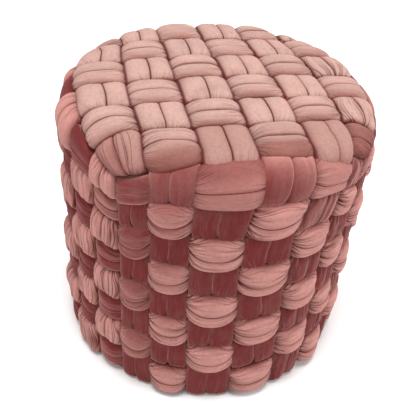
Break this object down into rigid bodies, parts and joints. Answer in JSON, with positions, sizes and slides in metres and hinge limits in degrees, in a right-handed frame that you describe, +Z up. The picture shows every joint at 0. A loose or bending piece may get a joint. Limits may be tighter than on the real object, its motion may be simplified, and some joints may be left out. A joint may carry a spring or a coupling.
{
  "type": "braided pouf",
  "caption": "Round drum pouf covered by a plain weave of plump padded velvet strips, with hoops woven round its side.",
  "frame": {"origin": "centre of the flat underside, on the floor", "axes": "+Z up, +X to the right and -Y to the front of the square weave on the top"},
  "size_m": [0.387, 0.3868, 0.3677],
  "materials": {
    "velvet": "matte dusty pink velvet with a soft sheen",
    "base_cloth": "plain matte woven base cloth"
  },
  "bodies": {
    "root": {"filled_body": "base_cloth", "lengthwise_strip_1": "velvet", "lengthwise_strip_2": "velvet", "lengthwise_strip_3": "velvet", "lengthwise_strip_4": "velvet", "lengthwise_strip_5": "velvet", "lengthwise_strip_6": "velvet", "crosswise_strip_1": "velvet", "crosswise_strip_2": "velvet", "crosswise_strip_3": "velvet", "crosswise_strip_4": "velvet", "crosswise_strip_5": "velvet", "crosswise_strip_6": "velvet", "hoop_1": "velvet", "hoop_2": "velvet", "hoop_3": "velvet", "hoop_4": "velvet", "hoop_5": "velvet", "hoop_6": "velvet", "hoop_7": "velvet", "hoop_8": "velvet"}
  },
  "joints": []
}
